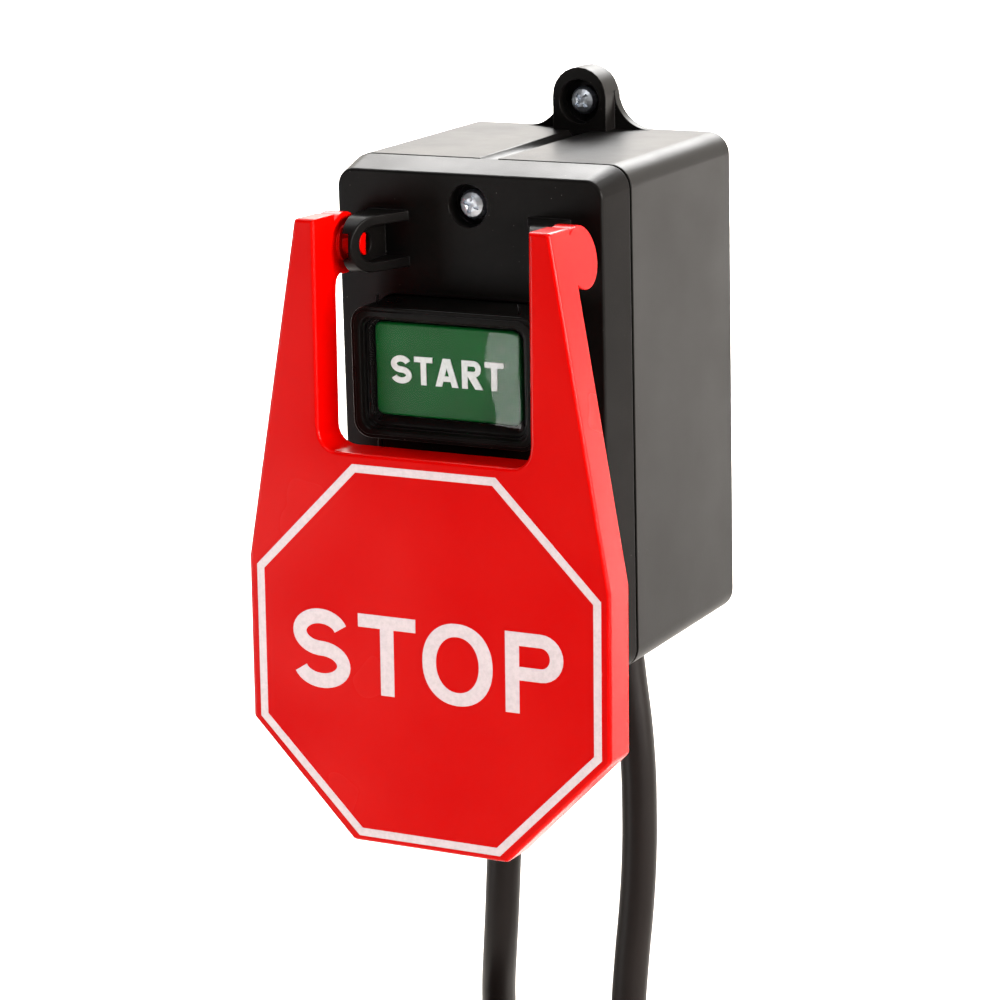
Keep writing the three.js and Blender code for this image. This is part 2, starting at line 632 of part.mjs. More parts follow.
function switchFrame() {
  const { width, low, high, front, back, wall } = FRAME;
  const half = width / 2;
  const stemHalf = 5.4;
  const carrierGap = 0.4;
  const shell = block([-half, half], [front, back], [low, high]);
  const inside = block([-half + wall, half - wall], [front + wall, back - wall], [low + wall, high - wall]);
  const windows = HEIGHTS.map(([, z]) => block(
    [-half - 1, half + 1], [STRIP.tipFront - 0.4, STRIP.back + 0.4],
    [z - STRIP.height / 2 - 0.4, z + STRIP.height / 2 + 0.4],
  ));
  const startHole = block(
    [-stemHalf - carrierGap, stemHalf + carrierGap], [front - 1, front + wall + 1],
    [START.z - stemHalf - carrierGap, START.z + stemHalf + carrierGap],
  );
  const stopHole = block([-stemHalf, stemHalf], [front - 1, front + wall + 1], [STOP.z - stemHalf, STOP.z + stemHalf]);
  const ventZ = (low + high) / 2;
  const vent = block([-8, 8], [back - wall - 1, back + 1], [ventZ - 24, ventZ - 12]);
  return cut(shell, inside, ...windows, startHole, stopHole, vent);
}

// The sliding carrier, with a window for each moving contact and its spring.
function contactCarrier() {
  const { half, low, high, front, back } = CARRIER;
  const body = block([-half, half], [front, back], [low, high]);
  const windowFront = front + 2;
  const windows = HEIGHTS.map(([, z]) => block([-half - 1, half + 1], [windowFront, BRIDGE.back + 1], [z - 3, z + 3]));
  return cut(body, ...windows);
}

function movingContact(z) {
  const strip = block([-BRIDGE.half, BRIDGE.half], [BRIDGE.front, BRIDGE.back], [z - BRIDGE.height / 2, z + BRIDGE.height / 2]);
  const tips = [-BRIDGE.tip, BRIDGE.tip].map(
    (x) => rod('y', BRIDGE.tipRadius, [BRIDGE.back - 0.2, BRIDGE.back + BRIDGE.tipDepth], [x, z], 12),
  );
  return join(strip, ...tips);
}

function terminalStrip(side, z) {
  const { inner, outer, height, front, back, tipFront, screw } = STRIP;
  const across = [Math.min(side * inner, side * outer), Math.max(side * inner, side * outer)];
  const strip = block(across, [front, back], [z - height / 2, z + height / 2]);
  const tip = rod('y', BRIDGE.tipRadius, [tipFront, front + 0.2], [side * BRIDGE.tip, z], 12);
  const hole = rod('y', 1.8, [front - 1, back + 1], [side * screw, z], 14);
  return cut(join(strip, tip), hole);
}

function terminalScrew(side, z) {
  const x = side * STRIP.screw;
  const seat = STRIP.back + GAP;
  const profile = [[0, seat - 5], [1.5, seat - 5], [1.5, seat], [3, seat], [3, seat + 1.5], [2.4, seat + 2], [0, seat + 2]];
  const slot = block([x - 4, x + 4], [seat + 1.2, seat + 3], [z - 0.4, z + 0.4]);
  return cut(turned(profile, 'y', [x, z], 16), slot);
}

function magnetCore() {
  const { half, low, high, front, back, yoke, leg } = CORE;
  const middle = (low + high) / 2;
  const slots = [[low + leg, middle - 4], [middle + 4, high - leg]].map(
    (z) => block([-half - 1, half + 1], [front - 1, yoke], z),
  );
  return cut(block([-half, half], [front, back], [low, high]), ...slots);
}

// A box centred on the core's middle leg.
function centredBlock(width, height, yFront, yBack) {
  const middle = (CORE.low + CORE.high) / 2;
  return block([-width / 2, width / 2], [yFront, yBack], [middle - height / 2, middle + height / 2]);
}

function coilBobbin() {
  const flangeHeight = CORE.high - CORE.low - 2 * CORE.leg - 0.8;
  const [front, back] = [CORE.front + 0.6, CORE.yoke - 0.6];
  const flanges = [[front, front + 1], [back - 1, back]].map((y) => centredBlock(25, flangeHeight, ...y));
  const tube = centredBlock(14.6, 10.6, front, back);
  return cut(join(tube, ...flanges), centredBlock(12.8, 8.8, CORE.front - 1, CORE.yoke + 1));
}

function coilWinding() {
  const outer = centredBlock(2 * WINDING.half, WINDING.high - WINDING.low, WINDING.front, WINDING.back);
  return cut(outer, centredBlock(15.4, 11.4, WINDING.front - 1, WINDING.back + 1));
}

function stopContactBridge() {
  return block([-11, 11], [-60.7, -59.7], [STOP.z - 2.5, STOP.z + 2.5]);
}

function stopFixedContact(side) {
  const across = [Math.min(side * 8, side * 20), Math.max(side * 8, side * 20)];
  const strip = block(across, [-62.9, -61.9], [STOP.z - 2.5, STOP.z + 2.5]);
  return join(strip, rod('y', 1.8, [-62, -61], [side * 9.8, STOP.z], 12));
}

function placeSwitch() {
  place('switch_bezel', switchBezel(), 'blackPlastic');
  place('start_button_film', buttonFilm(), 'film');
  place('start_button', buttonCap(START, CARRIER.front - GAP), 'greenPlastic');
  place('stop_button', buttonCap(STOP, -61), 'redPlastic');
  place('start_return_spring', returnSpring(START), 'zinc');
  place('stop_return_spring', returnSpring(STOP), 'zinc');
  place('switch_frame', switchFrame(), 'blackPlastic');
  place('contact_carrier', contactCarrier(), 'whitePlastic');
  for (const [height, z] of HEIGHTS) {
    place(`moving_contact_${height}`, movingContact(z), 'copper');
    place(`contact_spring_${height}`, spring(2, 0.6, CARRIER.front + 2 + GAP, BRIDGE.front - GAP, 3, z), 'zinc');
    for (const [circuit, side] of SIDES) {
      place(`terminal_${circuit}_${height}`, terminalStrip(side, z), 'brass');
      place(`terminal_screw_${circuit}_${height}`, terminalScrew(side, z), 'zinc');
    }
  }
  place('magnet_core', magnetCore(), 'steel');
  place('armature', block(
    [-ARMATURE.half, ARMATURE.half], [ARMATURE.front, ARMATURE.back], [CORE.low, CORE.high],
  ), 'steel');
  place('coil_bobbin', coilBobbin(), 'whitePlastic');
  place('coil_winding', coilWinding(), 'enamelledWire');
  place('stop_contact_bridge', stopContactBridge(), 'copper');
  place('stop_contact_left', stopFixedContact(-1), 'brass');
  place('stop_contact_right', stopFixedContact(1), 'brass');
}

// ---------------------------------------------------------------- wires inside the housing

const SPLICE = { x: 8, y: -17, z: -43.4, radius: 2.6 };

// Routes on the left; the right side mirrors them. Each one starts above its cord grip.
const WIRE_ROUTES = {
  black: [
    [-19.8, -23.6, GRIP.top + 0.8], [-22.5, -25, -44], [-27.6, -30, -35], [-28.7, -38, -22],
    [-28.5, -43.2, -10], [-28.5, -44.3, -2], [-28.5, -44.4, 5.4],
  ],
  white: [
    [-14.6, -23.6, GRIP.top + 0.9], [-17.5, -22, -44.5], [-26.5, -22.5, -40.5], [-30.5, -27, -30],
    [-30.5, -34, -12], [-30.3, -38.2, 2], [-29.2, -39.6, 9], [-28.6, -42.4, 13.2], [-28.5, -44.3, 15.3],
  ],
  green: [
    [-17.2, -18.8, GRIP.top + 0.8], [-17, -18, -47], [-14.4, -17.2, -44.2], [-SPLICE.x - GAP, SPLICE.y, SPLICE.z],
  ],
};

function placeWires() {
  for (const [circuit, side] of SIDES) {
    for (const [colour, route] of Object.entries(WIRE_ROUTES)) {
      const mirrored = route.map(([x, y, z]) => [-side * x, y, z]);
      const steps = 2 * (route.length - 1) + 1;
      place(`${circuit}_wire_${colour}`, splineBar(mirrored, WIRE, steps, 6), `${colour}Wire`);
    }
  }
  place('ground_splice', rod('x', SPLICE.radius, [-SPLICE.x, SPLICE.x], [SPLICE.y, SPLICE.z], 16), 'blueVinyl');
}

// ---------------------------------------------------------------- cords

// The moulded strain relief: a body inside, a waist in the wall, a flange and a tapered nose.
function cordGrip(x) {
  const wallIn = -HOUSING.height / 2 + HOUSING.wall;
  const wallOut = -HOUSING.height / 2;
  const profile = [
    [0, GRIP.top], [5.4, GRIP.top], [7, wallIn + 3], [7, wallIn + GAP], [5.9, wallIn + GAP],
    [5.9, wallOut - GAP], [6.6, wallOut - GAP],
    [6.6, wallOut - 1], [5.4, wallOut - 1.7], [5, GRIP.tip], [0, GRIP.tip],
  ];
  return turned(profile, 'z', [x, CORD_Y], 18);
}

// Half the width of the hank at a height above its tie: pinched at the tie, folded at its ends.
function hankHalfWidth(height) {
  const straight = HANK.half - HANK.fold;
  const reach = Math.abs(height);
  if (reach > straight) return Math.sqrt(Math.max(HANK.fold ** 2 - (reach - straight) ** 2, 0));
  return HANK.pinch + (HANK.fold - HANK.pinch) * (1 - Math.cos(Math.PI * reach / straight)) / 2;
}

// The hank as a plain solid: its outline is the cord's loop, widened by half a cord.
function cordHank() {
  const margin = CORD / 2 + GAP;
  const straight = HANK.half - HANK.fold;
  const legSteps = 14;
  const foldSteps = 6;
  const side = [];
  for (let step = 0; step <= legSteps; step += 1) {
    const height = straight * (2 * step / legSteps - 1);
    side.push([hankHalfWidth(height) + margin, height]);
  }
  const foldRadius = HANK.fold + margin;
  for (let step = 1; step < 2 * foldSteps; step += 1) {
    const angle = (step / foldSteps) * Math.PI / 2;
    side.push([foldRadius * Math.cos(angle), straight + foldRadius * Math.sin(angle)]);
  }
  const outline = [...side, ...side.map(([x, z]) => [-x, -z])];
  const placed = outline.map(([x, z]) => [HANK.x + x, HANK.z + z]);
  return prismY(polygon(placed), HANK.y - HANK.turns * HANK.pitch - margin, HANK.y + margin);
}

function hankTie() {
  const clear = HANK.pinch + CORD / 2 + 1.9;
  const front = HANK.y - HANK.turns * HANK.pitch - CORD / 2 - 0.8;
  const back = HANK.y + CORD / 2 + 0.8;
  const ring = (grow) => block(
    [HANK.x - clear - grow, HANK.x + clear + grow], [front - grow, back + grow],
    [HANK.z - TIE.height / 2 - (grow ? 0 : 1), HANK.z + TIE.height / 2 + (grow ? 0 : 1)],
  );
  return cut(ring(TIE.wall), ring(0));
}

// A moulded end: a tapered neck round the cord above a rounded block.
function mouldedEnd({ top, neck, face, width, depth, corner }, x, y) {
  const neckProfile = [[0, top], [5.4, top], [8.5, neck], [8.5, neck - 3], [0, neck - 3]];
  const collar = turned(neckProfile, 'z', [x, y], 16);
  return join(collar, prismZ(roundedRectangle(width, depth, corner, x, y), face, neck));
}

const GROUND_OFFSET = -BLADE.groundReach / 2;

function bladeSlots(x, y, face) {
  const bladeY = y + BLADE.groundReach / 2;
  const slots = [-1, 1].map((side) => {
    const centre = x + side * BLADE.spacing / 2;
    return block([centre - 1, centre + 1], [bladeY - 3.6, bladeY + 3.6], [face - 1, face + 14]);
  });
  return [...slots, rod('z', 2.7, [face - 1, face + 15], [x, y + GROUND_OFFSET], 16)];
}

function placePlug() {
  const { x, y } = TAIL;
  const bladeY = y + BLADE.groundReach / 2;
  const seat = PLUG.face - GAP;
  place('line_plug_body', mouldedEnd(PLUG, x, y), 'blackRubber');
  for (const [name, side] of [['left', -1], ['right', 1]]) {
    const centre = x + side * BLADE.spacing / 2;
    place(`line_plug_blade_${name}`, block(
      [centre - BLADE.thickness / 2, centre + BLADE.thickness / 2],
      [bladeY - BLADE.width / 2, bladeY + BLADE.width / 2], [seat - BLADE.length, seat],
    ), 'brass');
  }
  const pin = [[0, seat], [BLADE.ground, seat], [BLADE.ground, seat - 18], [1.2, seat - 20.5], [0, seat - 20.5]];
  place('line_plug_ground_pin', turned(pin, 'z', [x, y + GROUND_OFFSET], 16), 'brass');
}

function placeCords() {
  place('line_cord_grip', cordGrip(-CORD_X), 'blackRubber');
  place('load_cord_grip', cordGrip(CORD_X), 'blackRubber');
  place('line_cord', splineBar(LINE_CORD_ROUTE, CORD, 9, 10), 'blackRubber');
  place('load_cord', splineBar(LOAD_CORD_ROUTE, CORD, 16, 10), 'blackRubber');
  place('line_cord_hank', cordHank(), 'blackRubber');
  place('line_cord_tie', hankTie(), 'blackPlastic');
  place('line_cord_tail', rod('z', CORD / 2, [TAIL.bottom, TAIL.top], [TAIL.x, TAIL.y], 10), 'blackRubber');
  placePlug();
  const end = LOAD_CORD_ROUTE[LOAD_CORD_ROUTE.length - 1];
  const connector = mouldedEnd(CONNECTOR, end[0], end[1]);
  place('load_connector', cut(connector, ...bladeSlots(end[0], end[1], CONNECTOR.face)), 'blackRubber');
}

// ---------------------------------------------------------------- the whole starter

place('rear_housing', rearHousing(), 'blackPlastic');
place('front_cover', frontCover(), 'blackPlastic');
placeScrews();
placeSwitch();
place('paddle', paddle(), 'redPlastic', paddleGroup);
placeWires();
placeCords();

export default starter;
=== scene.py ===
"""A magnetic motor starter with a hinged red STOP paddle: its looks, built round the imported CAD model.

Metres, in the CAD's frame: +X right, +Z up, the front faces -Y, and the wall face is the plane y = 0.
"""

import json
import math

import bmesh
import bpy
from mathutils import Matrix, Vector
from mathutils.geometry import intersect_point_line


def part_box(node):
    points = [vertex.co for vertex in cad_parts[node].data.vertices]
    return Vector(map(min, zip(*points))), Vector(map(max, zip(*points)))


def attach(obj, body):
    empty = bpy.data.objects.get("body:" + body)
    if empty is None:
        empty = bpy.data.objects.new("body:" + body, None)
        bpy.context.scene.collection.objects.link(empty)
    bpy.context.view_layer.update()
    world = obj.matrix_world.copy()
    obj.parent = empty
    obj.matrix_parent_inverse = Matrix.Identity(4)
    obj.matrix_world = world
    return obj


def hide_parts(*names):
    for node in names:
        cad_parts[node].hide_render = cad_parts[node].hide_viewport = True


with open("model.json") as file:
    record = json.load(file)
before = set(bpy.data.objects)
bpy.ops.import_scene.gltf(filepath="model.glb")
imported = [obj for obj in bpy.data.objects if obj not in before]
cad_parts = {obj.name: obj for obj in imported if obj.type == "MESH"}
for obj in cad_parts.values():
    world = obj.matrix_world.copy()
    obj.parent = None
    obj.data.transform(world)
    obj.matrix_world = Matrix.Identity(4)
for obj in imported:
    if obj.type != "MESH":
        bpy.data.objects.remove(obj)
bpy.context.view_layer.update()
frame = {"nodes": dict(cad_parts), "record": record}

MM = 0.001

# ---------------------------------------------------------------- camera

# Angles in degrees, the place in metres, and the lens and sensor in millimetres.
CAMERA_AZIMUTH = 27.358
CAMERA_ELEVATION = 14.008
CAMERA_ROLL = -1.435
CAMERA_PLACE = Vector((0.37822, -0.78852, 0.18208))
CAMERA_LENS = 122.71
CAMERA_SENSOR = 36
CAMERA_NEAR = 0.05
CAMERA_FAR = 60


def make_camera():
    """A camera that looks along its azimuth and elevation, rolled a little about its own axis."""
    azimuth, elevation, roll = (math.radians(a) for a in (CAMERA_AZIMUTH, CAMERA_ELEVATION, CAMERA_ROLL))
    level_right = Vector((math.cos(azimuth), math.sin(azimuth), 0))
    back = Vector((math.sin(azimuth) * math.cos(elevation), -math.cos(azimuth) * math.cos(elevation),
                   math.sin(elevation)))
    level_up = back.cross(level_right)
    right = level_right * math.cos(roll) + level_up * math.sin(roll)
    up = back.cross(right)
    data = bpy.data.cameras.new("camera")
    data.lens = CAMERA_LENS
    data.sensor_width = CAMERA_SENSOR
    data.clip_start = CAMERA_NEAR
    data.clip_end = CAMERA_FAR
    camera = bpy.data.objects.new("camera", data)
    turn = Matrix((right, up, back)).transposed()
    camera.matrix_world = Matrix.Translation(CAMERA_PLACE) @ turn.to_4x4()
    bpy.context.scene.collection.objects.link(camera)
    bpy.context.scene.camera = camera


# ---------------------------------------------------------------- materials


class Nodes:
    """A short way to write a material's nodes.

    An input is given by its name with _ for a space, or by its number as "#0", and takes a value or
    another node's output.
    """

    def __init__(self, name):
        self.material = bpy.data.materials.new(name)
        self.material.use_nodes = True
        self.tree = self.material.node_tree
        self.shader = self.tree.nodes["Principled BSDF"]
        self.output = self.tree.nodes["Material Output"]

    def add(self, kind, settings=None, **inputs):
        node = self.tree.nodes.new(kind)
        for key, value in (settings or {}).items():
            setattr(node, key, value)
        for key, value in inputs.items():
            self.set(node, key.replace("_", " "), value)
        return node

    def set(self, node, key, value):
        socket = node.inputs[int(key[1:])] if key[:1] == "#" else node.inputs[key]
        if isinstance(value, bpy.types.NodeSocket):
            self.tree.links.new(value, socket)
        else:
            socket.default_value = value

    def surface(self, **inputs):
        for key, value in inputs.items():
            self.set(self.shader, key.replace("_", " "), value)

    def place(self):
        return self.add("ShaderNodeTexCoord").outputs["Object"]

    def calculate(self, operation, first, second):
        node = self.add("ShaderNodeMath", {"operation": operation}, **{"#0": first, "#1": second})
        return node.outputs[0]

    def sum_of(self, first, second, share):
        """first plus second times share."""
        return self.calculate("ADD", first, self.calculate("MULTIPLY", second, share))

    def noise(self, scale, detail=2.0, roughness=0.5, vector=None):
        return self.add("ShaderNodeTexNoise", Vector=vector or self.place(), Scale=scale, Detail=detail,
                        Roughness=roughness).outputs["Fac"]

    def ramp(self, fac, low, high, start, end):
        """A value that goes from start to end while fac goes from low to high."""
        node = self.add("ShaderNodeMapRange", Value=fac)
        for key, value in (("From Min", low), ("From Max", high), ("To Min", start), ("To Max", end)):
            node.inputs[key].default_value = value
        return node.outputs["Result"]

    def blend(self, fac, a, b):
        """A colour that goes from a to b while fac goes from 0 to 1."""
        node = self.add("ShaderNodeMix", {"data_type": "RGBA"})
        self.set(node, "Factor", fac)
        for socket, value in ((node.inputs[6], a), (node.inputs[7], b)):
            if isinstance(value, bpy.types.NodeSocket):
                self.tree.links.new(value, socket)
            else:
                socket.default_value = (*value, 1)
        return node.outputs[2]

    def bump(self, height, strength, distance):
        node = self.add("ShaderNodeBump", Height=height, Strength=strength, Distance=distance)
        return node.outputs["Normal"]


def black_moulding(name, grain, roughness, specular=0.07, dust=0.5):
    """Fine-grained black ABS: spark texture, slow unevenness, and a few specks of dust."""
    n = Nodes(name)
    place = n.place()
    fine = n.noise(2600, 3, 0.6, place)
    slow = n.noise(45, 3, 0.6, place)
    specks = n.add("ShaderNodeTexVoronoi", Vector=place, Scale=420.0).outputs["Distance"]
    dusty = n.ramp(specks, 0.035, 0.075, dust, 0.0)
    patches = n.ramp(n.noise(70, 2, 0.5, place), 0.5, 0.62, 0.0, 1.0)
    dust_mask = n.calculate("MULTIPLY", dusty, patches)
    unevenness = n.ramp(slow, 0.35, 0.65, 0.0, 1.0)
    plastic = n.blend(unevenness, (0.0022, 0.0019, 0.0018), (0.0042, 0.0037, 0.0035))
    n.surface(
        Base_Color=n.blend(dust_mask, plastic, (0.12, 0.11, 0.1)),
        Roughness=n.ramp(slow, 0.3, 0.7, roughness - 0.04, roughness + 0.05),
        Specular_IOR_Level=specular,
        Normal=n.bump(n.sum_of(fine, slow, 0.6), grain, 0.00006),
    )
    return n.material


def red_moulding():
    """Glossy red plastic, slightly rippled."""
    n = Nodes("red_plastic")
    place = n.place()
    slow = n.noise(30, 2, 0.5, place)
    fine = n.noise(1500, 2, 0.5, place)
    n.surface(
        Base_Color=n.blend(n.ramp(slow, 0.3, 0.7, 0.0, 1.0), (0.47, 0.0, 0.0), (0.5, 0.001, 0.0)),
        Roughness=n.ramp(slow, 0.3, 0.7, 0.2, 0.28),
        Specular_IOR_Level=0.1,
        Normal=n.bump(n.sum_of(fine, slow, 3.0), 0.12, 0.00005),
    )
    return n.material


def printed_white(name, colour, roughness):
    """Screen-printed ink: slightly uneven in cover and sheen."""
    n = Nodes(name)
    place = n.place()
    cover = n.noise(900, 4, 0.7, place)
    thin = tuple(c * 0.86 for c in colour)
    n.surface(
        Base_Color=n.blend(n.ramp(cover, 0.35, 0.6, 0.0, 1.0), thin, colour),
        Roughness=n.ramp(cover, 0.3, 0.7, roughness - 0.05, roughness + 0.08),
        Normal=n.bump(cover, 0.15, 0.00004),
    )
    return n.material


def green_moulding():
    """Smooth dark green plastic."""
    n = Nodes("green_plastic")
    slow = n.noise(60, 2, 0.5)
    n.surface(
        Base_Color=n.blend(n.ramp(slow, 0.3, 0.7, 0.0, 1.0), (0.0, 0.066, 0.009), (0.0, 0.08, 0.013)),
        Roughness=0.32,
        Specular_IOR_Level=0.2,
        Normal=n.bump(slow, 0.1, 0.0001),
    )
    return n.material


def clear_film():
    """A thin clear film that mirrors light over soft wrinkles and lets the rest through."""
    n = Nodes("clear_film")
    place = n.place()
    stretched = n.add("ShaderNodeMapping", Vector=place)
    stretched.inputs["Scale"].default_value = (1.0, 1.0, 0.32)
    wrinkles = n.noise(150, 3, 0.55, stretched.outputs["Vector"])
    normal = n.bump(wrinkles, 0.7, 0.0005)
    mirror = n.add("ShaderNodeBsdfGlossy", Roughness=0.08, Normal=normal)
    clear = n.add("ShaderNodeBsdfTransparent")
    fresnel = n.add("ShaderNodeFresnel", IOR=1.18, Normal=normal).outputs[0]
    inside = n.add("ShaderNodeNewGeometry").outputs["Backfacing"]
    share = n.add("ShaderNodeMix", **{"#0": inside, "A": fresnel, "B": 0.0}).outputs[0]
    mixed = n.add("ShaderNodeMixShader", **{"#0": share, "#1": clear.outputs[0], "#2": mirror.outputs[0]})
    n.tree.links.new(mixed.outputs[0], n.output.inputs["Surface"])
    return n.material


def plated_metal(name, colour, roughness, scratch=0.3):
    """Metal with fine scratches and patches of slightly darker plating."""
    n = Nodes(name)
    place = n.place()
    fine = n.noise(1800, 3, 0.6, place)
    slow = n.noise(350, 2, 0.5, place)
    darker = tuple(c * 0.8 for c in colour)
    n.surface(
        Base_Color=n.blend(slow, darker, colour),
        Metallic=1.0,
        Roughness=n.ramp(fine, 0.3, 0.7, roughness - 0.05, roughness + 0.08),
        Normal=n.bump(fine, scratch, 0.00003),
    )
    return n.material


def laminated_steel():
    """A stack of steel sheets, seen as bands across x."""
    n = Nodes("core_steel")
    place = n.place()
    bands = n.add("ShaderNodeTexWave", {"wave_type": "BANDS", "bands_direction": "X"},
                  Vector=place, Scale=320.0, Distortion=0.4).outputs["Fac"]
    n.surface(
        Base_Color=n.blend(bands, (0.14, 0.145, 0.15), (0.36, 0.37, 0.38)),
        Metallic=1.0,
        Roughness=0.42,
        Normal=n.bump(bands, 0.4, 0.0002),
    )
    return n.material


def wound_wire():
    """Close turns of enamelled copper wire, seen as bands across y."""
    n = Nodes("enamelled_wire")
    place = n.place()
    turns = n.add("ShaderNodeTexWave", {"wave_type": "BANDS", "bands_direction": "Y"},
                  Vector=place, Scale=500.0, Distortion=0.6).outputs["Fac"]
    n.surface(
        Base_Color=n.blend(turns, (0.12, 0.03, 0.01), (0.5, 0.16, 0.06)),
        Metallic=0.6,
        Roughness=0.35,
        Normal=n.bump(turns, 0.6, 0.0002),
    )
    return n.material


def insulation(name, colour, roughness=0.4):
    """Soft vinyl or plain plastic in one colour, slightly uneven."""
    n = Nodes(name)
    slow = n.noise(120, 2, 0.5)
    darker = tuple(c * 0.8 for c in colour)
    n.surface(
        Base_Color=n.blend(slow, darker, colour),
        Roughness=n.ramp(slow, 0.3, 0.7, roughness - 0.05, roughness + 0.1),
        Normal=n.bump(n.noise(900, 2, 0.5), 0.1, 0.00005),
    )
    return n.material


def cord_jacket():
    """Smooth black vinyl, slightly uneven over the cores inside it."""
    n = Nodes("black_cord")
    place = n.place()
    slow = n.noise(28, 2, 0.5, place)
    fine = n.noise(1400, 3, 0.6, place)
    n.surface(
        Base_Color=n.blend(slow, (0.0045, 0.0032, 0.003), (0.008, 0.0058, 0.0052)),
        Roughness=n.ramp(slow, 0.3, 0.7, 0.36, 0.46),
        Specular_IOR_Level=0.11,
        Normal=n.bump(n.sum_of(fine, slow, 4.0), 0.25, 0.00006),
    )
    return n.material


def strap_fabric():
    """A woven black strap."""
    n = Nodes("tie_fabric")
    place = n.place()
    weave = n.add("ShaderNodeTexVoronoi", Vector=place, Scale=1100.0).outputs["Distance"]
    n.surface(
        Base_Color=n.blend(weave, (0.012, 0.012, 0.013), (0.004, 0.004, 0.0045)),
        Roughness=0.9,
        Sheen_Weight=0.12,
        Normal=n.bump(weave, 0.8, 0.0003),
    )
    return n.material


def floor_paint():
    """A plain pale floor with very faint, broad patches."""
    n = Nodes("floor_paint")
    n.surface(
        Base_Color=n.blend(n.noise(3, 2, 0.5), (0.74, 0.7, 0.655), (0.78, 0.74, 0.7)),
        Roughness=0.85,
        Specular_IOR_Level=0.2,
    )
    return n.material


MATERIALS = {
    "black_plastic": black_moulding("black_plastic", 0.35, 0.36),
    "bezel_plastic": black_moulding("bezel_plastic", 0.25, 0.3, dust=0.9),
    "inner_plastic": black_moulding("inner_plastic", 0.15, 0.45, dust=0.0),
    "red_plastic": red_moulding(),
    "paddle_print": printed_white("paddle_print", (0.58, 0.49, 0.505), 0.38),
    "button_print": printed_white("button_print", (0.62, 0.66, 0.65), 0.4),
    "green_plastic": green_moulding(),
    "white_plastic": insulation("white_plastic", (0.78, 0.76, 0.7), 0.5),
    "clear_film": clear_film(),
    "zinc": plated_metal("zinc", (0.78, 0.83, 0.9), 0.34),
    "spring_steel": plated_metal("spring_steel", (0.5, 0.51, 0.53), 0.3),
    "core_steel": laminated_steel(),
    "brass": plated_metal("brass", (0.74, 0.54, 0.24), 0.28),
    "copper": plated_metal("copper", (0.76, 0.37, 0.2), 0.3),
    "enamelled_wire": wound_wire(),
    "black_insulation": insulation("black_insulation", (0.02, 0.02, 0.02)),
    "white_insulation": insulation("white_insulation", (0.8, 0.8, 0.78)),
    "green_insulation": insulation("green_insulation", (0.02, 0.24, 0.06)),
    "blue_vinyl": insulation("blue_vinyl", (0.03, 0.13, 0.42)),
    "black_cord": cord_jacket(),
    "tie_fabric": strap_fabric(),
}

SLOT_OF = {part["node"]: part["material_slot"] for part in frame["record"]["subparts"]}


def dress_cad_nodes():
    """Every CAD node gets its procedural material, also where a finer piece stands for it."""
    for name, node in frame["nodes"].items():
        for slot in node.material_slots:
            slot.material = MATERIALS[SLOT_OF[name]]


# ---------------------------------------------------------------- pieces


def body_of(node):
    """The name of the body that a CAD node belongs to."""
    for body, members in frame["record"]["behaviour"]["bodies"].items():
        if node in members:
            return body
    raise KeyError(node)


def joint_place(name):
    """Where a joint is in the CAD's frame."""
    for joint in frame["record"]["behaviour"]["joints"]:
        if joint["name"] == name:
            return Vector(joint["pos_m"])
    raise KeyError(name)


def add_piece(name, mesh, material, body, replaced=()):
    """A new object on a body, standing for the replaced CAD nodes."""
    piece = bpy.data.objects.new(name, mesh)
    bpy.context.scene.collection.objects.link(piece)
    if not mesh.materials:
        mesh.materials.append(MATERIALS[material])
    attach(piece, body)
    if replaced:
        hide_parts(*replaced)
    return piece


def rounded_edges(piece, width, segments):
    """Round each edge by its bevel weight times the width, and keep the flat faces looking flat."""
    bevel = piece.modifiers.new("rounded_edges", "BEVEL")
    bevel.limit_method = "WEIGHT"
    bevel.width = width
    bevel.segments = segments
    bevel.use_clamp_overlap = False
    bevel.miter_outer = "MITER_ARC"
    normals = piece.modifiers.new("flat_faces_stay_flat", "WEIGHTED_NORMAL")
    normals.keep_sharp = True
    normals.weight = 100


# Faces that meet at less than FLAT are one flat face, and an edge sharper than CREASE is rounded.
# An edge closer in direction than ALONG runs on from its neighbour, and no rounding takes more than
# ROOM_SHARE of the room beside its edge.
FLAT = math.radians(1.0)
CREASE = math.radians(24)
ALONG = math.cos(math.radians(25))
ROOM_SHARE = 0.42
SAME_CORNER = 5e-6
ON_THE_CUT = 2e-6

# The radii of the rounded edges.
BROAD_EDGE = 1.0 * MM
OUTER_EDGE = 0.8 * MM
CORD_END_EDGE = 0.6 * MM
TIE_EDGE = 0.5 * MM
FULL_EDGE = 0.35 * MM
PLAIN_EDGE = 0.3 * MM
GRIP_EDGE = 0.25 * MM
FINE_EDGE = 0.2 * MM
HOLLOW_EDGE = 0.15 * MM


def room_across(edge, face):
    """How far it is from an edge's middle to the other edges of its face."""
    a, b = (v.co for v in edge.verts)
    middle = (a + b) / 2
    nearest = math.inf
    for other in face.edges:
        if edge.verts[0] in other.verts or edge.verts[1] in other.verts:
            continue
        c, d = (v.co for v in other.verts)
        point, share = intersect_point_line(middle, c, d)
        if share < 0:
            point = c
        elif share > 1:
            point = d
        nearest = min(nearest, (point - middle).length)
    return nearest


def room_at_corners(edge):
    """The room along the edges that meet this one at its ends."""
    nearest = math.inf
    for corner in edge.verts:
        along = (edge.other_vert(corner).co - corner.co).normalized()
        for other in corner.link_edges:
            if other is edge:
                continue
            side = other.other_vert(corner).co - corner.co
            cosine = abs(side.normalized().dot(along))
            if cosine < ALONG:
                nearest = min(nearest, side.length * math.sqrt(1 - cosine * cosine))
    return nearest


def has_stray_chord(edge):
    """True where a flat face's leftover inner edge, other than a planned cut, meets this edge."""
    for corner in edge.verts:
        for other in corner.link_edges:
            if not other.seam and len(other.link_faces) == 2 and other.calc_face_angle() < FLAT:
                return True
    return False


